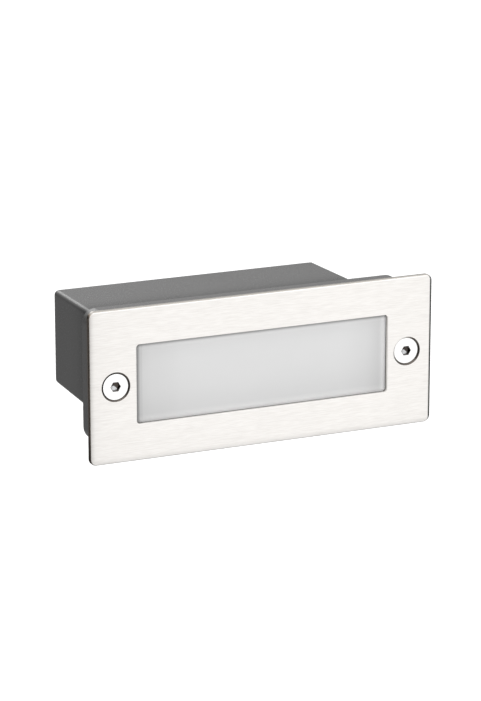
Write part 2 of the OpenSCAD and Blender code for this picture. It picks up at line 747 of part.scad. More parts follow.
// Cable gland: body through the back wall, locknut inside, rubber sleeve under a domed cap
module hexagon(y, y_end) into_wall(0, y, 0) cylinder(h = y_end - y, r = gland_hex_r, $fn = 6);
module gland_washer() color(dark_rubber) difference() {
    rod(0, box_back_y, 0, gland_af / 2, gland_flange_y);
    rod(0, box_back_y - over, 0, gland_hole_r, gland_flange_y + over);
}
module gland_body() color([0.2, 0.2, 0.2]) difference() {
    union() {
        rod(0, back_floor_y - locknut_t - shank_in, 0, gland_r, neck_end_y);
        hexagon(gland_flange_y, gland_neck_y);
    }
    rod(0, back_floor_y - locknut_t - shank_in - over, 0, cable_bore_d / 2 + cap_mouth_gap,
        sleeve_y + over);
    rod(0, sleeve_y, 0, gland_r - gland_wall, neck_end_y + over);
}
module gland_sleeve() color(dark_rubber) difference() {
    rod(0, sleeve_y, 0, gland_r - gland_wall - seat_gap, sleeve_end_y);
    rod(0, sleeve_y - over, 0, cable_bore_d / 2, sleeve_end_y + over);
}
// Cap: a hexagonal grip under a round end with its edge rounded off
module gland_cap() color([0.2, 0.2, 0.2]) {
    cap_r = gland_r + thread_gap + cap_wall;
    mouth_r = cable_bore_d / 2 + cap_mouth_gap;
    grip_end_y = cap_y + (gland_end_y - cap_y) / 2;
    difference() {
        union() {
            hexagon(cap_y, grip_end_y);
            into_wall(0, cap_y, 0) rotate_extrude() polygon(concat([[0, 0], [cap_r, 0]],
                arc(cap_r - cap_end_t, gland_end_y - cap_y - cap_end_t, cap_end_t, 0, 90),
                [[0, gland_end_y - cap_y]]));
        }
        rod(0, cap_y - over, 0, gland_r + thread_gap, sleeve_end_y);
        rod(0, sleeve_end_y - over, 0, mouth_r, gland_end_y + over);
    }
}
module gland_locknut() color([0.2, 0.2, 0.2]) difference() {
    hexagon(back_floor_y - locknut_t, back_floor_y);
    rod(0, back_floor_y - locknut_t - over, 0, gland_r + thread_gap, back_floor_y + over);
}

face_plate();
glass();
glass_seal();
glass_clips();
clip_nuts();
cover_screw_left();
cover_screw_right();
housing();
wall_seal();
rim_seal();
threaded_insert_left();
threaded_insert_right();
gear_tray();
tray_screws();
light_board();
light_sources();
board_screws();
board_connector();
reflector();
reflector_screws();
lead_bush();
driver_case();
driver_lid();
driver_screws();
terminal_block();
terminal_barrels();
terminal_screws();
terminal_fixing_screw();
live_lead();
neutral_lead();
positive_lead();
negative_lead();
gland_washer();
gland_body();
gland_sleeve();
gland_cap();
gland_locknut();
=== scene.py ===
import json
import math
import bmesh
import bpy
from mathutils import Matrix, Vector


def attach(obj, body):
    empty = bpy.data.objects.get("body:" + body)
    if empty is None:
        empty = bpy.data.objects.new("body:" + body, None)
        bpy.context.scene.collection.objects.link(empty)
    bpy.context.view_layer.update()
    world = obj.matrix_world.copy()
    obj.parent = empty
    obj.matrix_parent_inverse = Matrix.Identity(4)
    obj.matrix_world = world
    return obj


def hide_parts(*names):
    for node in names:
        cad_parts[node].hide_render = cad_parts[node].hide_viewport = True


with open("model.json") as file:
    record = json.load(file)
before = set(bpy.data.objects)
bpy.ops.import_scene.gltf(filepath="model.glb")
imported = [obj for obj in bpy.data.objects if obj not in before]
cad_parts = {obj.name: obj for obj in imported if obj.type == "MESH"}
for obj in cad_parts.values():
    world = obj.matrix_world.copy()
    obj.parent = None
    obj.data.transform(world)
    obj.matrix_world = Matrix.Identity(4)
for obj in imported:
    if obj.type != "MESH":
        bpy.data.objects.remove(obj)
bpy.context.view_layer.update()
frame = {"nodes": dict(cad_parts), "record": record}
mm = 0.001
bodyOf = {node: body for body, nodes in frame["record"]["behaviour"]["bodies"].items() for node in nodes}
print("frame loaded:", len(frame["nodes"]), "nodes")

# the photograph's view: place in metres, angles in degrees, lens and sensor in millimetres
camera = dict(place=(-0.5587, -1.2211, 0.3856), yaw=24.19, pitch=15.72, lens=158.3, sensor=36)
yaw, pitch = math.radians(camera["yaw"]), math.radians(camera["pitch"])
ahead = Vector((math.sin(yaw) * math.cos(pitch), math.cos(yaw) * math.cos(pitch), -math.sin(pitch)))
across = Vector((math.cos(yaw), -math.sin(yaw), 0))
camData = bpy.data.cameras.new("photoCamera")
camData.lens = camera["lens"]
camData.sensor_width = camera["sensor"]
camData.clip_start, camData.clip_end = 0.05, 60
camObject = bpy.data.objects.new("photoCamera", camData)
bpy.context.collection.objects.link(camObject)
turn = Matrix((across, across.cross(ahead), -ahead)).transposed()
camObject.matrix_world = Matrix.Translation(camera["place"]) @ turn.to_4x4()
bpy.context.scene.camera = camObject
bpy.context.scene.view_settings.view_transform = "Standard"


def put(tree, kind, inputs=None, **settings):
    # one node in any tree: each input takes a value or another node's output
    node = tree.nodes.new(kind)
    for key, value in settings.items():
        setattr(node, key, value)
    for key, value in (inputs or {}).items():
        if isinstance(value, bpy.types.NodeSocket):
            tree.links.new(value, node.inputs[key])
        else:
            node.inputs[key].default_value = value
    return node


def calc(tree, operation, a, b=0.0):
    return put(tree, "ShaderNodeMath", {0: a, 1: b}, operation=operation).outputs[0]


def newMaterial(name):
    mat = bpy.data.materials.new(name)
    mat.use_nodes = True
    return mat, mat.node_tree, mat.node_tree.nodes["Principled BSDF"]


def grain(tree, scale, stretch=(1, 1, 1), detail=3.0, rough=0.55):
    # noise on object coordinates, stretched along the axes
    place = put(tree, "ShaderNodeTexCoord").outputs["Object"]
    mapping = put(tree, "ShaderNodeMapping", {"Vector": place, "Scale": stretch})
    noise = put(tree, "ShaderNodeTexNoise", {
        "Vector": mapping.outputs["Vector"], "Scale": scale, "Detail": detail, "Roughness": rough})
    return noise.outputs["Fac"]


def spread(tree, value, low, high, fromLow=0.3, fromHigh=0.7):
    mapped = put(tree, "ShaderNodeMapRange", {
        "Value": value, "From Min": fromLow, "From Max": fromHigh, "To Min": low, "To Max": high})
    return mapped.outputs["Result"]


def tint(tree, value, dark, light, fromLow=0.3, fromHigh=0.7):
    return shades(tree, value, ((fromLow, dark), (fromHigh, light)))


def shades(tree, value, stops):
    # colour ramp through any number of stops: (place, colour or grey)
    ramp = put(tree, "ShaderNodeValToRGB", {"Fac": value})
    spots = ramp.color_ramp.elements
    while len(spots) < len(stops):
        spots.new(0.5)
    for spot, (place, colour) in zip(spots, stops):
        spot.position = place
        spot.color = (*colour, 1) if isinstance(colour, tuple) else (colour, colour, colour, 1)
    return ramp.outputs["Color"]


def times(tree, a, b):
    mix = put(tree, "ShaderNodeMix", {0: 1.0}, data_type="RGBA", blend_type="MULTIPLY")
    tree.links.new(a, mix.inputs[6])
    tree.links.new(b, mix.inputs[7])
    return mix.outputs[2]


def along(tree, axis, low, high):
    # 0 to 1 across the object along one axis, from low to high in mm
    place = put(tree, "ShaderNodeSeparateXYZ", {0: put(tree, "ShaderNodeTexCoord").outputs["Object"]})
    return spread(tree, place.outputs[axis], 0, 1, low * mm, high * mm)


def shadesAlong(tree, axis, stops):
    # colour ramp along one axis of the object: stops are (place in mm, grey)
    low, high = stops[0][0], stops[-1][0]
    shares = [((place - low) / (high - low), grey) for place, grey in stops]
    return shades(tree, along(tree, axis, low, high), shares)


def bumped(tree, shader, value, height, distance=0.0002):
    bump = put(tree, "ShaderNodeBump", {"Strength": height, "Distance": distance, "Height": value})
    tree.links.new(bump.outputs["Normal"], shader.inputs["Normal"])


driftScale = 25  # per metre, of the slow drift of colour over a moulding


def mouldedPlastic(name, colour, spreadOfColour=0.06, roughness=0.45, grainSize=0.0005, bump=0.25,
                   specular=0.5):
    # fine spark-eroded grain, with a slow drift of colour over the whole moulding
    mat, tree, shader = newMaterial(name)
    fine = grain(tree, 1 / grainSize, detail=2)
    slow = grain(tree, driftScale, detail=2)
    dark = tuple(c * (1 - spreadOfColour) for c in colour)
    light = tuple(min(1, c * (1 + spreadOfColour)) for c in colour)
    tree.links.new(tint(tree, slow, dark, light), shader.inputs["Base Color"])
    tree.links.new(spread(tree, fine, roughness - 0.05, roughness + 0.07), shader.inputs["Roughness"])
    shader.inputs["Specular IOR Level"].default_value = specular
    bumped(tree, shader, fine, bump)
    return mat


def housingPlastic(p):
    # the moulding's grey, with painted shade on the rear box behind the step
    mat, tree, shader = newMaterial("greyMoulding")
    fine = grain(tree, 1 / p["grainSize"], detail=2)
    shade = shadesAlong(tree, "Y", p["shade"])
    dark, light = (tuple(c * (1 + side * p["drift"]) for c in p["colour"]) for side in (-1, 1))
    slow = tint(tree, grain(tree, driftScale, detail=2), dark, light)
    tree.links.new(times(tree, slow, shade), shader.inputs["Base Color"])
    tree.links.new(calc(tree, "MULTIPLY", shade, p["specular"]), shader.inputs["Specular IOR Level"])
    tree.links.new(spread(tree, fine, *p["roughness"]), shader.inputs["Roughness"])
    bumped(tree, shader, fine, p["bump"])
    return mat


def plainMetal(name, colour, roughness=0.28, streak=(1, 1, 1), scale=900, bump=0.06, spreadOfColour=0.05,
               fade=None):
    # fade: painted light and shade along an axis, given as the axis and its (place in mm, share of the
    # colour) stops
    mat, tree, shader = newMaterial(name)
    lines = grain(tree, scale, stretch=streak, detail=3)
    metal = tint(tree, lines, tuple(c * (1 - spreadOfColour) for c in colour), colour)
    if fade:
        metal = times(tree, metal, shadesAlong(tree, *fade))
    tree.links.new(metal, shader.inputs["Base Color"])
    tree.links.new(spread(tree, lines, roughness - 0.04, roughness + 0.06), shader.inputs["Roughness"])
    shader.inputs["Metallic"].default_value = 1
    bumped(tree, shader, lines, bump, 0.00005)
    return mat


# width and height: painted shade, as the share of the colour from the left end and from the lower edge of the
# face; rightEdge: painted shade near the right end, by place in mm
brushing = dict(length=0.005, thick=0.00024, fineThick=0.00012, fineLength=0.6,
                dark=(0.885, 0.857, 0.825), light=(1.0, 0.977, 0.949), contrast=(0.36, 0.64),
                roughness=(0.40, 0.30), roughFrom=(0.7, 1.3), anisotropic=0.7, bump=0.10, bumpDepth=0.00004,
                halfW=85, halfH=35.5,
                width=((0.0, 0.45), (0.005, 0.66), (0.01, 0.83), (0.0165, 0.91), (0.033, 0.932),
                       (0.053, 0.94), (0.082, 0.950), (0.124, 0.960), (0.206, 0.967), (0.5, 0.985),
                       (0.75, 1.0), (1.0, 1.0)),
                rightEdge=((83.0, 1.0), (83.6, 0.97), (83.8, 0.5), (83.92, 0.1), (84.5, 0.1)),
                height=((0.0, 0.75), (0.018, 0.85), (0.035, 0.955), (0.049, 0.965), (0.077, 0.972),
                        (0.106, 0.974), (0.19, 0.98), (0.36, 0.992), (0.6, 0.992), (1.0, 0.995)))


def brushedSteel(p):
    # fine scratches along the plate, and painted shade that darkens the face towards its two ends and its
    # lower edge
    mat, tree, shader = newMaterial("brushedSteel")
    longWay = 1 / p["length"]
    coarse = grain(tree, 1, stretch=(longWay, longWay, 1 / p["thick"]), detail=4)
    fineWay = p["fineLength"] * longWay
    fine = grain(tree, 1, stretch=(fineWay, fineWay, 1 / p["fineThick"]), detail=2)
    both = calc(tree, "ADD", coarse, fine)
    metal = tint(tree, calc(tree, "MULTIPLY", both, 0.5), p["dark"], p["light"], *p["contrast"])
    paintedShade = times(tree, shades(tree, along(tree, "X", -p["halfW"], p["halfW"]), p["width"]),
                 shades(tree, along(tree, "Z", -p["halfH"], p["halfH"]), p["height"]))
    paintedShade = times(tree, paintedShade, shadesAlong(tree, "X", p["rightEdge"]))
    tree.links.new(times(tree, metal, paintedShade), shader.inputs["Base Color"])
    tree.links.new(spread(tree, both, *p["roughness"], *p["roughFrom"]), shader.inputs["Roughness"])
    shader.inputs["Metallic"].default_value = 1
    shader.inputs["Anisotropic"].default_value = p["anisotropic"]
    tangent = put(tree, "ShaderNodeTangent", direction_type="UV_MAP", uv_map="brushing")
    tree.links.new(tangent.outputs["Tangent"], shader.inputs["Tangent"])
    bumped(tree, shader, both, p["bump"], p["bumpDepth"])
    return mat


# shade: painted shade along the depth in mm, darkest on the rear box behind the step
moulding = dict(colour=(0.151, 0.150, 0.149), drift=0.04, grainSize=0.0004, specular=0.5,
                roughness=(0.19, 0.29), bump=0.14,
                shade=((20.0, 1.0), (20.8, 1.0), (21.0, 0.80), (35.0, 0.72), (46.5, 0.69), (48.5, 0.76),
                       (51.5, 0.86), (56.0, 0.95), (62.0, 0.99), (68.0, 1.0)))
# turning: bright, brightSide, slant and lift give the painted highlight on the right countersink
turning = dict(screwX=72.25, ringWidth=0.00022, dark=(0.028, 0.023, 0.020), light=(0.20, 0.18, 0.16),
               bright=(0.93, 0.92, 0.90), stops=(0.35, 0.68, 1.0), brightSide=(-7.0, 0.5),
               slant=(0.83, 0.55), lift=0.5, roughness=(0.42, 0.28), bump=0.3, bumpDepth=0.00006)


def turnedSteel(p):
    # tool marks that run round each screw's axis
    mat, tree, shader = newMaterial("turnedCountersink")
    place = put(tree, "ShaderNodeSeparateXYZ", {0: put(tree, "ShaderNodeTexCoord").outputs["Object"]})
    fromAxis = calc(tree, "SUBTRACT", calc(tree, "ABSOLUTE", place.outputs["X"]), p["screwX"] * mm)
    flat = put(tree, "ShaderNodeCombineXYZ", {"X": fromAxis, "Y": place.outputs["Z"]})
    out = put(tree, "ShaderNodeVectorMath", {0: flat.outputs[0]}, operation="LENGTH").outputs["Value"]
    rings = put(tree, "ShaderNodeTexNoise", {"W": out, "Scale": 1 / p["ringWidth"], "Detail": 2.0},
                noise_dimensions="1D").outputs["Fac"]
    # painted highlight: the right countersink is made bright towards its upper left
    sideways = calc(tree, "SUBTRACT", place.outputs["X"], p["screwX"] * mm)
    slant = calc(tree, "SUBTRACT", calc(tree, "MULTIPLY", sideways, p["slant"][0]),
                 calc(tree, "MULTIPLY", place.outputs["Z"], p["slant"][1]))
    side = spread(tree, slant, p["lift"], 0, p["brightSide"][0] * mm, p["brightSide"][1] * mm)
    lift = calc(tree, "MULTIPLY", side, calc(tree, "GREATER_THAN", place.outputs["X"], 0.0))
    tones = list(zip(p["stops"], (p["dark"], p["light"], p["bright"])))
    tone = shades(tree, calc(tree, "ADD", rings, lift), tones)
    tree.links.new(tone, shader.inputs["Base Color"])
    tree.links.new(spread(tree, rings, *p["roughness"]), shader.inputs["Roughness"])
    shader.inputs["Metallic"].default_value = 1
    bumped(tree, shader, rings, p["bump"], p["bumpDepth"])
    return mat


# across and upright: share of the white at each place in mm, with painted shadow beside the window's walls,
# painted light close to the right wall and painted shade towards the lower edge and the ends
opal = dict(white=0.782, cloud=0.01, cloudScale=40, grainScale=2500, roughness=(0.34, 0.42), specular=0.35,
            depthWeight=0.15, depthScale=0.002, bump=0.05, bumpDepth=0.00005,
            across=((-62.3, 0.33), (-61.0, 0.345), (-60.5, 0.45), (-60.0, 0.70), (-59.6, 0.815),
                    (-59.0, 0.75), (-58.4, 0.865), (-57.0, 0.885), (-54.0, 0.915), (-50.0, 0.93),
                    (-45.0, 0.95), (-40.0, 0.985), (-20.0, 1.0), (35.0, 1.0), (40.0, 0.997), (44.0, 0.984),
                    (48.0, 0.968), (52.0, 0.948), (55.0, 0.915), (57.0, 0.885), (59.0, 0.876), (59.7, 0.93),
                    (60.2, 1.0), (60.7, 1.12), (61.3, 1.27), (62.0, 1.32)),
            upright=((-18.4, 0.97), (-17.0, 0.95), (-16.0, 0.86), (-15.0, 0.805), (-12.0, 0.807),
                     (-9.0, 0.825), (-5.0, 0.85), (0.0, 0.87), (7.0, 0.885), (13.0, 0.885), (15.0, 0.915),
                     (16.0, 0.995), (16.5, 0.93), (17.0, 0.70), (17.4, 0.52), (18.4, 0.5)))


def opalGlass(p):
    # milky glass with painted shade towards its lower edge and its ends, and painted shadow and light at its
    # borders
    mat, tree, shader = newMaterial("opalGlass")
    low, high = (p["white"] * (1 + side * p["cloud"]) for side in (-1, 1))
    cloud = tint(tree, grain(tree, p["cloudScale"], detail=2), (low,) * 3, (high,) * 3)
    tone = times(tree, shadesAlong(tree, "X", p["across"]), shadesAlong(tree, "Z", p["upright"]))
    tree.links.new(times(tree, cloud, tone), shader.inputs["Base Color"])
    fine = grain(tree, p["grainScale"], detail=2)
    tree.links.new(spread(tree, fine, *p["roughness"]), shader.inputs["Roughness"])
    shader.inputs["Specular IOR Level"].default_value = p["specular"]
    shader.inputs["Subsurface Weight"].default_value = p["depthWeight"]
    shader.inputs["Subsurface Radius"].default_value = (1.0, 1.0, 1.0)
    shader.inputs["Subsurface Scale"].default_value = p["depthScale"]
    bumped(tree, shader, fine, p["bump"], p["bumpDepth"])
    return mat


finish = dict(
    steel=brushedSteel(brushing),
    # the plate's cut edges are lit and shaded copies of one steel: painted shade, painted light and a painted
    # brown reflection
    shadedEdge=plainMetal("cutSteelEdge", (0.125, 0.112, 0.102), 0.34, streak=(1, 6, 1), scale=700,
                       spreadOfColour=0.25),
    windowWall=plainMetal("windowWall", (0.86, 0.84, 0.81), 0.34, streak=(1, 6, 1), scale=700,
                          spreadOfColour=0.1),
    # painted reflection on the left edge: brown, darker towards the bottom and brighter at the top
    litLeftEdge=plainMetal("brownSteelEdge", (0.58, 0.495, 0.42), 0.34, scale=2200, spreadOfColour=0.7,
                        fade=("Z", ((-34.0, 0.3), (-30.0, 0.4), (-20.0, 0.9), (0.0, 1.0), (33.0, 1.0),
                                    (35.0, 2.0)))),
    litTopEdge=plainMetal("lightSteelEdge", (0.50, 0.475, 0.445), 0.34, streak=(1, 6, 1), scale=700,
                       spreadOfColour=0.2),
    shadedRightEdge=mouldedPlastic("dullSteelEdge", (0.060, 0.061, 0.063), 0.1, 0.6, 0.0004, 0.1, specular=0.0),
    turned=turnedSteel(turning),
    screw=plainMetal("brightScrew", (0.97, 0.97, 0.965), 0.24, scale=1500, bump=0.05, spreadOfColour=0.03),
    # painted shade inside the hex socket
    socket=plainMetal("broachedSocket", (0.085, 0.072, 0.064), 0.3, streak=(1, 0.2, 1), scale=2500,
                      spreadOfColour=0.35),
    zinc=plainMetal("zincPlate", (0.66, 0.67, 0.68), 0.34, scale=1200),
    brass=plainMetal("turnedBrass", (0.78, 0.60, 0.30), 0.26, streak=(1, 8, 1), scale=700),
    tinned=plainMetal("tinnedPad", (0.74, 0.74, 0.73), 0.38, scale=2500),
    opal=opalGlass(opal),
    grey=housingPlastic(moulding),
    rubber=mouldedPlastic("blackRubber", (0.030, 0.030, 0.031), 0.15, 0.72, 0.0006, 0.4),
    foam=mouldedPlastic("closedCellFoam", (0.035, 0.035, 0.037), 0.2, 0.85, 0.0009, 0.9),
    whitePaint=mouldedPlastic("whitePowderCoat", (0.80, 0.80, 0.78), 0.02, 0.38, 0.0012, 0.35),
    board=mouldedPlastic("whiteSolderMask", (0.82, 0.83, 0.82), 0.02, 0.25, 0.0008, 0.1),
    reflector=mouldedPlastic("whiteReflector", (0.86, 0.86, 0.85), 0.015, 0.28, 0.0005, 0.08),
    driver=mouldedPlastic("driverWhite", (0.78, 0.78, 0.75), 0.03, 0.5, 0.0006, 0.3),
    ivory=mouldedPlastic("ivoryPlastic", (0.78, 0.74, 0.60), 0.03, 0.35, 0.0008, 0.15),
    black=mouldedPlastic("blackNylon", (0.025, 0.025, 0.026), 0.1, 0.42, 0.0005, 0.25),
    package=mouldedPlastic("lightSourcePackage", (0.85, 0.85, 0.83), 0.02, 0.3, 0.0003, 0.05),
    phosphor=mouldedPlastic("phosphorGel", (0.86, 0.72, 0.16), 0.04, 0.2, 0.0004, 0.03),
    brown=mouldedPlastic("brownInsulation", (0.17, 0.075, 0.03), 0.05, 0.35, 0.001, 0.05),
    blue=mouldedPlastic("blueInsulation", (0.04, 0.14, 0.42), 0.05, 0.35, 0.001, 0.05),
    red=mouldedPlastic("redInsulation", (0.48, 0.03, 0.03), 0.05, 0.35, 0.001, 0.05),
    dark=mouldedPlastic("darkInsulation", (0.025, 0.025, 0.025), 0.05, 0.35, 0.001, 0.05),
)
print("finishes made:", len(finish))


def rideAs(piece, node, replaces=True):
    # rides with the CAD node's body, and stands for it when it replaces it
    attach(piece, bodyOf[node])
    if replaces:
        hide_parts(node)
    return piece


def objectOf(name, mesh):
    piece = bpy.data.objects.new(name, mesh)
    bpy.context.collection.objects.link(piece)
    return piece


def meshOf(name, bm, *materials):
    bmesh.ops.recalc_face_normals(bm, faces=bm.faces)
    mesh = bpy.data.meshes.new(name)
    bm.to_mesh(mesh)
    bm.free()
    for material in materials:
        mesh.materials.append(material)
    return mesh


def smoothShade(piece, angle=35):
    mesh = piece.data
    mesh.polygons.foreach_set("use_smooth", [True] * len(mesh.polygons))
    mesh.set_sharp_from_angle(angle=math.radians(angle))
    mod = piece.modifiers.new("evenNormals", "WEIGHTED_NORMAL")
    mod.keep_sharp = True
    mod.weight = 100


def arcPoints(cx, cy, r, start, end, steps):
    turns = [math.radians(start + (end - start) * i / steps) for i in range(steps + 1)]
    return [(cx + r * math.cos(a), cy + r * math.sin(a)) for a in turns]


def roundedOutline(w, h, r, perCorner=14):
    # counter-clockwise points of a rounded rectangle about the origin
    r = max(r, 1e-6)
    points = []
    for cx, cy, start in ((1, 1, 0), (-1, 1, 90), (-1, -1, 180), (1, -1, 270)):
        points += arcPoints(cx * (w / 2 - r), cy * (h / 2 - r), r, start, start + 90, perCorner)
    return points


def roundedRing(w, h, r, y, perCorner=14):
    return roundedOutline(w, h, r, perCorner), y


def quarterRound(r, steps):
    # pairs that round off an edge: the first grows from 0 to r while the second falls from r to 0
    turns = [math.radians(90 * i / steps) for i in range(steps + 1)]
    return [(r * (1 - math.cos(a)), r * (1 - math.sin(a))) for a in turns]


def circleOutline(x, z, r, count=96):
    return [(x + r * math.cos(2 * math.pi * i / count), z + r * math.sin(2 * math.pi * i / count))
            for i in range(count)]


def hexOutline(r, count=96):
    # hexagon with its corners at r, as many points as the round rings that it joins
    points = []
    for i in range(count):
        a = 2 * math.pi * i / count
        reach = r * math.cos(math.pi / 6) / math.cos((a % (math.pi / 3)) - math.pi / 6)
        points.append((reach * math.cos(a), reach * math.sin(a)))
    return points


def addRings(bm, rings, material=0):
    # rings: (outline, depth) in mm, all with the same number of points
    made = [[bm.verts.new((x * mm, y * mm, z * mm)) for x, z in outline] for outline, y in rings]
    for a, b in zip(made, made[1:]):
        for i in range(len(a)):
            j = (i + 1) % len(a)
            bm.faces.new((a[i], a[j], b[j], b[i])).material_index = material
    return made


def fillBetween(bm, loops):
    # flat face bounded by the first loop, with the others as holes
    edges = []
    for loop in loops:
        for i in range(len(loop)):
            pair = (loop[i], loop[(i + 1) % len(loop)])
            edges.append(bm.edges.get(pair) or bm.edges.new(pair))
    bmesh.ops.triangle_fill(bm, use_beauty=True, use_dissolve=False, edges=edges)


def softened(node, material, width=0.3, segments=2, angle=40):
    # merged copy of a CAD node with its edges rounded off
    source = frame["nodes"][node]
    bm = bmesh.new()
    bm.from_mesh(source.data)
    bmesh.ops.transform(bm, matrix=source.matrix_world, verts=bm.verts)
    bmesh.ops.remove_doubles(bm, verts=bm.verts, dist=2e-6)
    bmesh.ops.dissolve_degenerate(bm, dist=1e-6, edges=bm.edges)
    bmesh.ops.dissolve_limit(bm, angle_limit=math.radians(0.6), verts=bm.verts, edges=bm.edges)
    piece = objectOf(node + "Soft", meshOf(node + "Soft", bm, material))
    mod = piece.modifiers.new("softEdges", "BEVEL")
    mod.width, mod.segments = width * mm, segments
    mod.limit_method, mod.angle_limit = "ANGLE", math.radians(angle)
    mod.use_clamp_overlap = True
    smoothShade(piece)
    return rideAs(piece, node)


def startTree(name, inputs):
    tree = bpy.data.node_groups.new(name, "GeometryNodeTree")
    tree.interface.new_socket("Geometry", in_out="INPUT", socket_type="NodeSocketGeometry")
    for label, kind, value in inputs:
        made = tree.interface.new_socket(label, in_out="INPUT", socket_type="NodeSocket" + kind)
        if value is not None:
            made.default_value = value
    tree.interface.new_socket("Material", in_out="INPUT", socket_type="NodeSocketMaterial")
    tree.interface.new_socket("Geometry", in_out="OUTPUT", socket_type="NodeSocketGeometry")
    return tree, tree.nodes.new("NodeGroupInput").outputs


def endTree(tree, given, geometry):
    real = put(tree, "GeometryNodeRealizeInstances", {"Geometry": geometry})
    coat = put(tree, "GeometryNodeSetMaterial", {"Geometry": real.outputs[0], "Material": given["Material"]})
    put(tree, "NodeGroupOutput", {"Geometry": coat.outputs[0]})
    return tree


def runTree(tree, base, values, name, material):
    # runs a tree on a base mesh and returns a plain object at the origin
    host = objectOf(name + "Host", base)
    mod = host.modifiers.new("tree", "NODES")
    mod.node_group = tree
    sockets = {item.name: item.identifier for item in tree.interface.items_tree if item.in_out == "INPUT"}
    for label, value in dict(values, Material=material).items():
        mod[sockets[label]] = value
    bpy.context.view_layer.update()
    made = bpy.data.meshes.new_from_object(host.evaluated_get(bpy.context.evaluated_depsgraph_get()))
    made.name = name
    bpy.data.objects.remove(host)
    return objectOf(name, made)


def makeThreadTree():
    # a vee swept along a spiral, laid along Y and joined to the shank that is given
    tree, given = startTree("threadOnShank", [
        ("Radius", "Float", 0.003), ("Pitch", "Float", 0.001), ("Turns", "Float", 12.0),
        ("Start", "Float", 0.004), ("Depth", "Float", 0.0004), ("Sides", "Int", 28)])
    core = calc(tree, "SUBTRACT", given["Radius"], given["Depth"])
    spiral = put(tree, "GeometryNodeCurveSpiral", {
        "Resolution": given["Sides"], "Rotations": given["Turns"], "Start Radius": core, "End Radius": core,
        "Height": calc(tree, "MULTIPLY", given["Turns"], given["Pitch"])})
    vee = put(tree, "GeometryNodeCurvePrimitiveCircle", {"Resolution": 4, "Radius": given["Depth"]})
    sweep = put(tree, "GeometryNodeCurveToMesh", {
        "Curve": spiral.outputs[0], "Profile Curve": vee.outputs[0], "Fill Caps": True})
    start = put(tree, "ShaderNodeCombineXYZ", {"Y": given["Start"]})
    laid = put(tree, "GeometryNodeTransform", {
        "Geometry": sweep.outputs[0], "Translation": start.outputs[0], "Rotation": (-math.pi / 2, 0, 0)})
    join = put(tree, "GeometryNodeJoinGeometry", {"Geometry": laid.outputs[0]})
    tree.links.new(given["Geometry"], join.inputs["Geometry"])
    return endTree(tree, given, join.outputs[0])


def makePointsTree():
    # one shape on every point of the base, all turned the same way
    tree, given = startTree("shapeOnPoints", [("Shape", "Object", None), ("Turn", "Vector", None)])
    shape = put(tree, "GeometryNodeObjectInfo", {"Object": given["Shape"]})
    placed = put(tree, "GeometryNodeInstanceOnPoints", {
        "Points": given["Geometry"], "Instance": shape.outputs["Geometry"], "Rotation": given["Turn"]})
    return endTree(tree, given, placed.outputs[0])


def makeGridTree():
    # one shape on every crossing of a grid that stands across the light
    tree, given = startTree("shapeOnGrid", [
        ("Shape", "Object", None), ("Columns", "Int", 8), ("Rows", "Int", 2),
        ("Step", "Float", 0.01), ("Row Step", "Float", 0.015), ("Depth", "Float", 0.0)])
    grid = put(tree, "GeometryNodeMeshGrid", {
        "Vertices X": given["Columns"], "Vertices Y": given["Rows"],
        "Size X": calc(tree, "MULTIPLY", calc(tree, "SUBTRACT", given["Columns"], 1.0), given["Step"]),
        "Size Y": calc(tree, "MULTIPLY", calc(tree, "SUBTRACT", given["Rows"], 1.0), given["Row Step"])})
    depth = put(tree, "ShaderNodeCombineXYZ", {"Y": given["Depth"]})
    stood = put(tree, "GeometryNodeTransform", {
        "Geometry": grid.outputs[0], "Translation": depth.outputs[0], "Rotation": (math.pi / 2, 0, 0)})
    shape = put(tree, "GeometryNodeObjectInfo", {"Object": given["Shape"]})
    placed = put(tree, "GeometryNodeInstanceOnPoints", {
        "Points": stood.outputs[0], "Instance": shape.outputs["Geometry"]})
    return endTree(tree, given, placed.outputs[0])


def makeRingTree():
    # one shape repeated round the light's depth axis, where it was drawn at its own radius
    tree, given = startTree("shapeRoundAxis", [("Shape", "Object", None), ("Count", "Int", 24)])
    step = calc(tree, "DIVIDE", 2 * math.pi, given["Count"])
    angle = calc(tree, "MULTIPLY", put(tree, "GeometryNodeInputIndex").outputs[0], step)
    points = put(tree, "GeometryNodePoints", {"Count": given["Count"]})
    shape = put(tree, "GeometryNodeObjectInfo", {"Object": given["Shape"]})
    placed = put(tree, "GeometryNodeInstanceOnPoints", {
        "Points": points.outputs[0], "Instance": shape.outputs["Geometry"],
        "Rotation": put(tree, "ShaderNodeCombineXYZ", {"Y": angle}).outputs[0]})
    return endTree(tree, given, placed.outputs[0])


def makeLeadTree():
    # a round lead swept along the line that is given
    tree, given = startTree("leadOnRoute", [("Radius", "Float", 0.001), ("Sides", "Int", 20)])
    route = put(tree, "GeometryNodeMeshToCurve", {"Mesh": given["Geometry"]})
    section = put(tree, "GeometryNodeCurvePrimitiveCircle", {
        "Resolution": given["Sides"], "Radius": given["Radius"]})
    sweep = put(tree, "GeometryNodeCurveToMesh", {
        "Curve": route.outputs[0], "Profile Curve": section.outputs[0], "Fill Caps": True})
    return endTree(tree, given, sweep.outputs[0])


threadTree, pointsTree, gridTree = makeThreadTree(), makePointsTree(), makeGridTree()
ringTree, leadTree = makeRingTree(), makeLeadTree()
print("node trees made: 5")

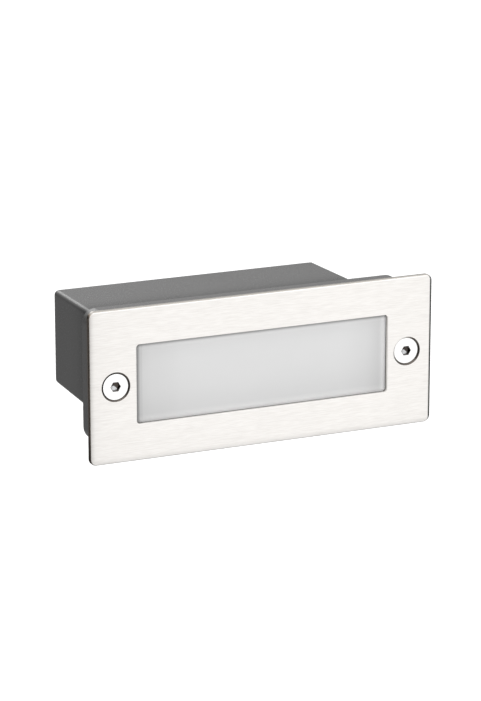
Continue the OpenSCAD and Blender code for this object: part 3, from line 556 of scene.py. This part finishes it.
# edgeLooks: by where a cut edge faces, its look with painted light and shade, and the turn in degrees from
# the front where it starts
facePlate = dict(w=170, h=71, t=2, front=-3.6, cornerR=3.3, edgeR=1.0, edgeSteps=12,
                 windowW=124.6, windowH=36.8, windowR=1.5, windowEdgeR=0.15, windowSteps=8, windowWallT=1.25,
                 screwX=72.25, mouthR=6.82, holeR=4.9,
                 lipR=0.06, lipSteps=(0.35, 0.7, 1.0), lipDrop=0.7, lipReach=0.5, lipCurve=1.6,
                 studX=40, studZ=24.2, studR=1.0, studLen=3.0, studSink=0.2, studBevel=0.25,
                 looks=("steel", "shadedEdge", "windowWall", "turned", "litTopEdge", "shadedRightEdge", "litLeftEdge"),
                 edgeLooks=dict(below=("shadedEdge", 45), above=("litTopEdge", 28), right=("shadedRightEdge", 4),
                                left=("litLeftEdge", 28)),
                 backFrom=100, wallFrom=60, wallZone=1, edgeZone=4, uprightShare=0.7,
                 brushScale=5, brushLean=0.4)


def makeFacePlate(p):
    bm = bmesh.new()
    front, back = p["front"], p["front"] + p["t"]
    slot = {look: i for i, look in enumerate(p["looks"])}
    outer = [roundedRing(p["w"], p["h"], p["cornerR"], back)]
    for inset, depth in quarterRound(p["edgeR"], p["edgeSteps"]):
        outer.append(roundedRing(p["w"] - 2 * inset, p["h"] - 2 * inset, p["cornerR"] - inset, front + depth))
    outerLoops = addRings(bm, outer)
    w, h, r = p["windowW"], p["windowH"], p["windowR"]
    window = [roundedRing(w, h, r, back), roundedRing(w, h, r, front + p["windowWallT"])]
    for grow, depth in quarterRound(p["windowEdgeR"], p["windowSteps"]):
        window.append(roundedRing(w + 2 * grow, h + 2 * grow, r + grow, front + depth))
    windowLoops = addRings(bm, window)
    frontHoles, backHoles = [windowLoops[-1]], [windowLoops[0]]
    mouth, drop = p["mouthR"], p["lipR"] * p["lipDrop"]
    for x in (-p["screwX"], p["screwX"]):
        rings = [(circleOutline(x, 0, p["holeR"]), back), (circleOutline(x, 0, mouth - drop), front + drop)]
        for k in p["lipSteps"]:
            reach = mouth - drop * (1 - k) + p["lipR"] * p["lipReach"] * k
            rings.append((circleOutline(x, 0, reach), front + drop * (1 - k) ** p["lipCurve"]))
        loops = addRings(bm, rings, slot["turned"])
        frontHoles.append(loops[-1])
        backHoles.append(loops[0])
    fillBetween(bm, [outerLoops[-1]] + frontHoles)
    fillBetween(bm, [outerLoops[0]] + backHoles)
    for x in (-p["studX"], p["studX"]):
        for z in (-p["studZ"], p["studZ"]):  # welded studs with a bevelled tip
            r, end, bevel = p["studR"], back + p["studLen"], p["studBevel"]
            sections = ((r, back - p["studSink"]), (r, end - bevel), (r - bevel, end))
            loops = addRings(bm, [(circleOutline(x, z, radius, 24), y) for radius, y in sections])
            bm.faces.new(loops[0])
            bm.faces.new(loops[-1])
    mesh = meshOf("brushedFacePlate", bm, *(finish[look] for look in p["looks"]))
    for face in mesh.polygons:  # cut edges carry painted light and shade: lighter above, painted shade to the right and below, a painted brown reflection to the left
        x, y, z, n = face.center.x / mm, face.center.y / mm, face.center.z / mm, face.normal
        turnsAway = math.degrees(math.acos(max(-1, min(1, -n.y))))
        upright = p["uprightShare"] * max(math.hypot(n.x, n.z), 1e-6)
        if face.material_index == slot["turned"] or turnsAway > p["backFrom"]:
            continue
        if abs(x) < p["windowW"] / 2 + p["wallZone"] and abs(z) < p["windowH"] / 2 + p["wallZone"]:
            look, startsAt = "shadedEdge" if y > front + p["windowWallT"] else "windowWall", p["wallFrom"]
            face.material_index = slot["steel" if turnsAway < startsAt else look]
        elif abs(x) > p["w"] / 2 - p["edgeZone"] or abs(z) > p["h"] / 2 - p["edgeZone"]:
            side = ("below" if n.z < -upright else "above" if n.z > upright
                    else "right" if n.x > 0 else "left")
            look, startsAt = p["edgeLooks"][side]
            face.material_index = slot[look if turnsAway > startsAt else "steel"]
    uv = mesh.uv_layers.new(name="brushing")
    for loop in mesh.loops:
        co = mesh.vertices[loop.vertex_index].co
        uv.data[loop.index].uv = (co.x * p["brushScale"], (co.z + p["brushLean"] * co.y) * p["brushScale"])
    piece = objectOf("brushedFacePlate", mesh)
    smoothShade(piece, 40)
    rideAs(piece, "face_plate")


makeFacePlate(facePlate)
print("face plate made")

glassPane = dict(w=131.0, h=42.6, t=4, front=-1.1, cornerR=1.5, cornerSteps=8, edgeR=0.5, edgeSteps=4)


def makeGlass(p):
    # plain pane with its edges ground off
    bm = bmesh.new()
    edge, rings = quarterRound(p["edgeR"], p["edgeSteps"]), []
    front, back = p["front"], p["front"] + p["t"]
    for inset, y in [(b, front + a) for a, b in edge] + [(a, back - b) for a, b in edge]:
        rings.append(roundedRing(p["w"] - 2 * inset, p["h"] - 2 * inset, p["cornerR"], y, p["cornerSteps"]))
    loops = addRings(bm, rings)
    fillBetween(bm, [loops[0]])
    fillBetween(bm, [loops[-1]])
    piece = objectOf("opalPane", meshOf("opalPane", bm, finish["opal"]))
    smoothShade(piece, 50)
    rideAs(piece, "glass")


makeGlass(glassPane)
print("glass made")

# sinks: how far each head lies behind the face; shine: the sector of the drilled point with a painted
# highlight
coverScrew = dict(x=72.25, front=-3.6, sinks=(0.4, 0.65), headR=6, land=0.2, shankR=3, length=16,
                  hexR=4 / 2 / math.cos(math.radians(30)), hexDepth=2.6, mouthGrow=0.2, mouthDepth=0.12,
                  floorDepth=0.5, pointDepth=0.35, pointR=1.5, pointTip=0.15, shine=(190, 320), shineR=0.95,
                  pitch=1.0, threadDepth=0.45, threadSides=28, threadStart=1.2, threadEnd=0.9,
                  looks=("screw", "socket", "zinc"))


def coverScrewMesh(p):
    # head at y = 0, shank along +Y, hex socket with a chamfered mouth and a drilled bottom
    bm = bmesh.new()
    head, land, shank, length = p["headR"], p["land"], p["shankR"], p["length"]
    slot = {look: i for i, look in enumerate(p["looks"])}
    coneEnd, core = land + head - shank, shank - p["threadDepth"]
    profile = [(head - 0.18, 0), (head - 0.05, 0.05), (head, 0.16), (head, land + 0.02),
               (shank + 0.15, coneEnd - 0.1), (shank, coneEnd + 0.15), (core, coneEnd + 0.8),
               (core, length - 0.8), (core - 0.6, length)]
    loops = addRings(bm, [(circleOutline(0, 0, r), y) for r, y in profile])
    bm.faces.new(loops[-1])
    hexR, depth, mouth, dark = p["hexR"], p["hexDepth"], p["mouthDepth"], slot["socket"]
    floorY, pointY = depth - p["floorDepth"], depth - p["pointDepth"]
    # the socket's walls and drilled point take a painted shade
    socket = addRings(bm, [(hexOutline(hexR + p["mouthGrow"]), 0), (hexOutline(hexR), mouth)], dark)
    addRings(bm, [(hexOutline(hexR), mouth), (hexOutline(hexR), floorY)], dark)
    floor = addRings(bm, [(hexOutline(hexR), floorY), (circleOutline(0, 0, p["pointR"]), pointY),
                          (circleOutline(0, 0, p["pointTip"]), depth)], dark)
    bm.faces.new(floor[-1]).material_index = dark
    for face in bm.faces:  # painted highlight: the lower part of the drilled point takes the brighter zinc finish
        middle = face.calc_center_median()
        angle = math.degrees(math.atan2(middle.z, middle.x)) % 360
        inside = math.hypot(middle.x, middle.z) < p["shineR"] * hexR * mm
        if middle.y > floorY * mm and inside and p["shine"][0] < angle < p["shine"][1]:
            face.material_index = slot["zinc"]
    fillBetween(bm, [loops[0], socket[0]])
    bmesh.ops.remove_doubles(bm, verts=bm.verts, dist=1e-6)
    return meshOf("countersunkScrew", bm, *(finish[look] for look in p["looks"]))


def makeCoverScrews(p):
    first = p["land"] + p["headR"] - p["shankR"] + p["threadStart"]
    turns = (p["length"] - first - p["threadEnd"]) / p["pitch"]
    sizes = {"Radius": p["shankR"] * mm, "Pitch": p["pitch"] * mm, "Turns": turns, "Start": first * mm,
             "Depth": p["threadDepth"] * mm, "Sides": p["threadSides"]}
    thread = runTree(threadTree, bpy.data.meshes.new("noShank"), sizes, "screwThread", finish["screw"])
    for side, node, sink in zip((-1, 1), ("cover_screw_left", "cover_screw_right"), p["sinks"]):
        bm = bmesh.new()
        bm.from_mesh(thread.data)
        bm.from_mesh(coverScrewMesh(p))
        bmesh.ops.translate(bm, verts=bm.verts, vec=(side * p["x"] * mm, (p["front"] + sink) * mm, 0))
        name = "coverScrew" + ("Left" if side < 0 else "Right")
        piece = objectOf(name, meshOf(name, bm, *(finish[look] for look in p["looks"])))
        smoothShade(piece, 32)
        rideAs(piece, node)
    bpy.data.objects.remove(thread)


makeCoverScrews(coverScrew)
print("cover screws made")

panThread = dict(start=0.7, plain=1.4, depth=0.18, sides=14)

# small screws: where each sits (mm), its sizes, and which way its head faces
smallScrews = dict(
    tray_screws=dict(spots=[(x, 16.4, z) for x in (-63.45, 63.45) for z in (-18.95, 18.95)],
                     r=1.5, headR=2.8, headT=2.0, length=13.7, pitch=0.5),
    board_screws=dict(spots=[(x, 14.8, z) for x in (-53.8, 53.8) for z in (-8.55, 8.55)],
                      r=1.25, headR=2.1, headT=1.4, length=3.3, pitch=0.45),
    reflector_screws=dict(spots=[(x, 14.9, z) for x in (-63.95, 63.95) for z in (-12.85, 12.85)],
                          r=1.25, headR=2.1, headT=1.4, length=3.2, pitch=0.45),
    driver_screws=dict(spots=[(x, 20.4, 0) for x in (-47.2, 8.8)], r=1.5, headR=2.8, headT=2.0, length=3.7,
                       pitch=0.5, backwards=True),
    terminal_fixing_screw=dict(spots=[(24.9, 34.4, 0)], r=1.25, headR=2.1, headT=1.4, length=17.7, pitch=0.45,
                               backwards=True),
)


def panScrewMesh(p, name):
    # pan head with a crossed recess, its seat at y = 0 and its shank along +Y
    bm = bmesh.new()
    r, hr, ht, core = p["r"], p["headR"], p["headT"], p["r"] - 0.2
    profile = [(0.70 * hr, -ht), (0.82 * hr, -0.86 * ht), (0.90 * hr, -0.5 * ht), (0.97 * hr, -0.12 * ht),
               (0.98 * hr, 0), (r, 0), (r, 0.3), (core, 0.6), (core, p["length"] - 0.5),
               (core - 0.5, p["length"])]
    loops = addRings(bm, [(circleOutline(0, 0, radius, 32), y) for radius, y in profile])
    bm.faces.new(loops[-1])

    def cross(reach, half):
        return [(reach, -half), (reach, half), (half, half), (half, reach), (-half, reach), (-half, half),
                (-reach, half), (-reach, -half), (-half, -half), (-half, -reach), (half, -reach),
                (half, -half)]

    recess = addRings(bm, [(cross(0.5 * hr, 0.11 * hr), -ht), (cross(0.36 * hr, 0.09 * hr), -0.45 * ht)])
    bm.faces.new(recess[-1])
    fillBetween(bm, [loops[0], recess[0]])
    return meshOf(name, bm, finish["zinc"])


def makeSmallScrews(node, p):
    turns = (p["length"] - panThread["plain"]) / p["pitch"]
    sizes = {"Radius": p["r"] * mm, "Pitch": p["pitch"] * mm, "Turns": turns, "Sides": panThread["sides"],
             "Start": panThread["start"] * mm, "Depth": panThread["depth"] * mm}
    shape = runTree(threadTree, panScrewMesh(p, node + "Blank"), sizes, node + "Shape", finish["zinc"])
    spots = bpy.data.meshes.new(node + "Spots")
    spots.from_pydata([[v * mm for v in spot] for spot in p["spots"]], [], [])
    facing = (math.pi, 0, 0) if p.get("backwards") else (0, 0, 0)
    piece = runTree(pointsTree, spots, {"Shape": shape, "Turn": facing}, node + "Made", finish["zinc"])
    bpy.data.objects.remove(shape)
    smoothShade(piece, 40)
    rideAs(piece, node)


for node, sizes in smallScrews.items():
    makeSmallScrews(node, sizes)
print("small screws made:", len(smallScrews))

lightSource = dict(w=3.5, h=2.8, t=0.8, cupR=1.15, gelR=1.1, columns=8, rows=2, step=10, rowStep=15.6,
                   boardFace=14.8)


def makeLightSources(p):
    # white package with a round cup, yellow gel in the cup, tinned pads at both ends
    bm = bmesh.new()
    w, h, t = p["w"], p["h"], p["t"]
    shell = addRings(bm, [(roundedOutline(w, h, 0.25, 3), 0), (roundedOutline(w, h, 0.25, 3), 0.08 - t),
                          (roundedOutline(w - 0.16, h - 0.16, 0.2, 3), -t)])
    cup = addRings(bm, [(circleOutline(0, 0, p["cupR"], 20), -t),
                        (circleOutline(0, 0, p["cupR"] - 0.12, 20), 0.35 - t)])
    bm.faces.new(shell[0])
    bm.faces.new(cup[-1])
    fillBetween(bm, [shell[-1], cup[0]])
    package = objectOf("lightSourcePackage", meshOf("lightSourcePackage", bm, finish["package"]))
    bm = bmesh.new()
    g = p["gelR"]
    sections = ((g, 0.2), (0.98 * g, 0.1), (0.7 * g, 0.05), (0.3 * g, 0.03))
    dome = addRings(bm, [(circleOutline(0, 0, radius, 20), y - t) for radius, y in sections])
    bm.faces.new(dome[0])
    bm.faces.new(dome[-1])
    gel = objectOf("phosphorDome", meshOf("phosphorDome", bm, finish["phosphor"]))
    bm = bmesh.new()
    for side in (-1, 1):
        x = side * (w / 2 + 0.12)
        foot = [(x + px, pz) for px, pz in roundedOutline(0.5, h - 0.5, 0.1, 2)]
        top = [(x + px - side * 0.1, pz) for px, pz in roundedOutline(0.2, h - 0.8, 0.08, 2)]
        pad = addRings(bm, [(foot, 0), (top, -0.3)])
        bm.faces.new(pad[0])
        bm.faces.new(pad[-1])
    pads = objectOf("solderPads", meshOf("solderPads", bm, finish["tinned"]))
    layout = {"Columns": p["columns"], "Rows": p["rows"], "Step": p["step"] * mm,
              "Row Step": p["rowStep"] * mm, "Depth": p["boardFace"] * mm}
    rows = ((package, "package", True), (gel, "phosphor", False), (pads, "tinned", False))
    for shape, look, stands in rows:
        base = bpy.data.meshes.new("noBase")
        piece = runTree(gridTree, base, dict(layout, Shape=shape), shape.name + "Rows", finish[look])
        bpy.data.objects.remove(shape)
        smoothShade(piece, 35)
        rideAs(piece, "light_sources", stands)


makeLightSources(lightSource)
print("light sources made:", lightSource["columns"] * lightSource["rows"])

# leads: cubic bends through four points each, in mm
leads = dict(
    live_lead=dict(r=1.1, look="brown", bends=[
        [(5.8, 34.4, 9), (14.8, 34.4, 9), (29.9, 24.9, 20.6), (29.9, 24.9, 6.5)]]),
    neutral_lead=dict(r=1.1, look="blue", bends=[
        [(5.8, 28.4, 9), (14.8, 28.4, 9), (19.9, 24.9, 20.6), (19.9, 24.9, 6.5)]]),
    positive_lead=dict(r=0.8, look="red", bends=[
        [(-44.2, 31.4, 1.25), (-54.75, 31.4, 1.25), (-54.75, 25.4, 1.25), (-54.75, 19.4, 1.25)],
        [(-54.75, 14.8, 1.25), (-54.75, 12.6, 1.25), (-49.75, 12.8, 1.25), (-45.75, 12.8, 1.25)]]),
    negative_lead=dict(r=0.8, look="dark", bends=[
        [(-44.2, 31.4, -1.25), (-54.75, 31.4, -1.25), (-54.75, 25.4, -1.25), (-54.75, 19.4, -1.25)],
        [(-54.75, 14.8, -1.25), (-54.75, 12.6, -1.25), (-49.75, 12.8, -1.25), (-45.75, 12.8, -1.25)]]),
)


def makeLead(node, p, steps=18):
    points = []
    for bend in p["bends"]:
        a, b, c, d = (Vector(v) * mm for v in bend)
        for i in range(steps + 1):
            t = i / steps
            points.append(a * (1 - t) ** 3 + b * 3 * t * (1 - t) ** 2 + c * 3 * t * t * (1 - t) + d * t ** 3)
    line = bpy.data.meshes.new(node + "Route")
    line.from_pydata(points, [(i, i + 1) for i in range(len(points) - 1)], [])
    piece = runTree(leadTree, line, {"Radius": p["r"] * mm, "Sides": 20}, node + "Swept", finish[p["look"]])
    smoothShade(piece, 50)
    rideAs(piece, node)


for node, route in leads.items():
    makeLead(node, route)
print("leads made:", len(leads))

glandGrip = dict(count=36, capR=10.2, ribR=0.34, tipR=0.08, taper=0.5, start=99.6, end=103.8)


def makeGlandGrip(p):
    # fine ribs round the gland cap's plain end
    bm = bmesh.new()
    sections = ((p["tipR"], p["start"]), (p["ribR"], p["start"] + p["taper"]),
                (p["ribR"], p["end"] - p["taper"]), (p["tipR"], p["end"]))
    loops = addRings(bm, [(circleOutline(p["capR"], 0, r, 10), y) for r, y in sections])
    bm.faces.new(loops[0])
    bm.faces.new(loops[-1])
    rib = objectOf("gripRib", meshOf("gripRib", bm, finish["black"]))
    base = bpy.data.meshes.new("noRing")
    piece = runTree(ringTree, base, {"Shape": rib, "Count": p["count"]}, "glandGripRibs", finish["black"])
    bpy.data.objects.remove(rib)
    smoothShade(piece, 50)
    rideAs(piece, "gland_cap", False)


makeGlandGrip(glandGrip)
print("gland grip made")

# mouldings, pressings and seals that keep their CAD shape: finish and width of the softened edge in mm
softPieces = dict(
    housing=("grey", 0.5), gear_tray=("whitePaint", 0.25), light_board=("board", 0.12),
    board_connector=("ivory", 0.2), reflector=("reflector", 0.25), lead_bush=("rubber", 0.2),
    driver_case=("driver", 0.5), driver_lid=("driver", 0.25), terminal_block=("ivory", 0.25),
    terminal_barrels=("brass", 0.12), terminal_screws=("zinc", 0.1), gland_washer=("rubber", 0.15),
    gland_body=("black", 0.35), gland_sleeve=("rubber", 0.3), gland_cap=("black", 0.35),
    gland_locknut=("black", 0.35), wall_seal=("foam", 0.3), rim_seal=("rubber", 0.12),
    glass_seal=("rubber", 0.08), glass_clips=("zinc", 0.12), clip_nuts=("zinc", 0.12),
    threaded_insert_left=("brass", 0.15), threaded_insert_right=("brass", 0.15),
)
edgeSegments = dict(housing=3)
for node, (look, width) in softPieces.items():
    softened(node, finish[look], width, edgeSegments.get(node, 2))
print("softened pieces made:", len(softPieces))

studio = dict(floorSize=12.0, floorZ=-0.62, floorWhite=0.9, floorGlow=0.2)
bm = bmesh.new()
bmesh.ops.create_grid(bm, x_segments=8, y_segments=8, size=studio["floorSize"] / 2)
floorMat, floorTree, floorShader = newMaterial("paleFloor")
floorShader.inputs["Base Color"].default_value = (*[studio["floorWhite"]] * 3, 1)
floorShader.inputs["Roughness"].default_value = 0.9
floorShader.inputs["Specular IOR Level"].default_value = 0.0
floorShader.inputs["Emission Color"].default_value = (1, 1, 1, 1)
floorShader.inputs["Emission Strength"].default_value = studio["floorGlow"]
floor = objectOf("paleFloor", meshOf("paleFloor", bm, floorMat))
floor.data.transform(Matrix.Translation((0, 0, studio["floorZ"])))
floor.visible_diffuse = floor.visible_glossy = floor.visible_shadow = False

# soft boxes painted on the sky: a ramp is an axis with the values where it starts and ends
light = dict(base=0.28, above=("Z", 0.1, 0.95, 0.0, 1.44), front=("Y", 0.0, -0.8, 0.0, 1.165),
             below=("Z", -0.3, -0.9, 0.0, 0.5), leftShade=("X", -0.35, -0.75, 1.0, 0.23),
             patches=[dict(to=(0.08, 0.87, 0.485), width=(0.945, 0.99), add=2.0),
                      dict(to=(-0.47, 0.87, 0.06), width=(0.95, 0.99), keep=0.0),
                      dict(to=(0.94, -0.28, -0.2), width=(0.87, 0.96), keep=0.12)])
world = bpy.data.worlds.new("studioAir")
bpy.context.scene.world = world
world.use_nodes = True
sky = world.node_tree
sky.nodes.clear()
direction = put(sky, "ShaderNodeTexCoord").outputs["Generated"]
axes = put(sky, "ShaderNodeSeparateXYZ", {0: direction})


def softStep(value, fromLow, fromHigh, low, high):
    return put(sky, "ShaderNodeMapRange", {
        "Value": value, "From Min": fromLow, "From Max": fromHigh, "To Min": low, "To Max": high},
        interpolation_type="SMOOTHSTEP").outputs["Result"]


def skyRamp(axis, *values):
    return softStep(axes.outputs[axis], *values)


total = calc(sky, "ADD", calc(sky, "ADD", skyRamp(*light["above"]), skyRamp(*light["front"])),
             calc(sky, "ADD", skyRamp(*light["below"]), light["base"]))
total = calc(sky, "MULTIPLY", total, skyRamp(*light["leftShade"]))
for patch in light["patches"]:  # small lamps add light and flags keep only a share of it
    towards = Vector(patch["to"]).normalized()
    near = put(sky, "ShaderNodeVectorMath", {0: direction, 1: towards}, operation="DOT_PRODUCT")
    low, high = (0.0, patch["add"]) if "add" in patch else (1.0, patch["keep"])
    soft = softStep(near.outputs["Value"], *patch["width"], low, high)
    total = calc(sky, "ADD" if "add" in patch else "MULTIPLY", total, soft)
lit = put(sky, "ShaderNodeBackground", {"Strength": total})
seen = put(sky, "ShaderNodeBackground", {"Color": (1, 1, 1, 1), "Strength": 1.0})
byRay = put(sky, "ShaderNodeMixShader", {0: put(sky, "ShaderNodeLightPath").outputs["Is Camera Ray"],
                                         1: lit.outputs[0], 2: seen.outputs[0]})
put(sky, "ShaderNodeOutputWorld", {"Surface": byRay.outputs[0]})
print("stage and light made")
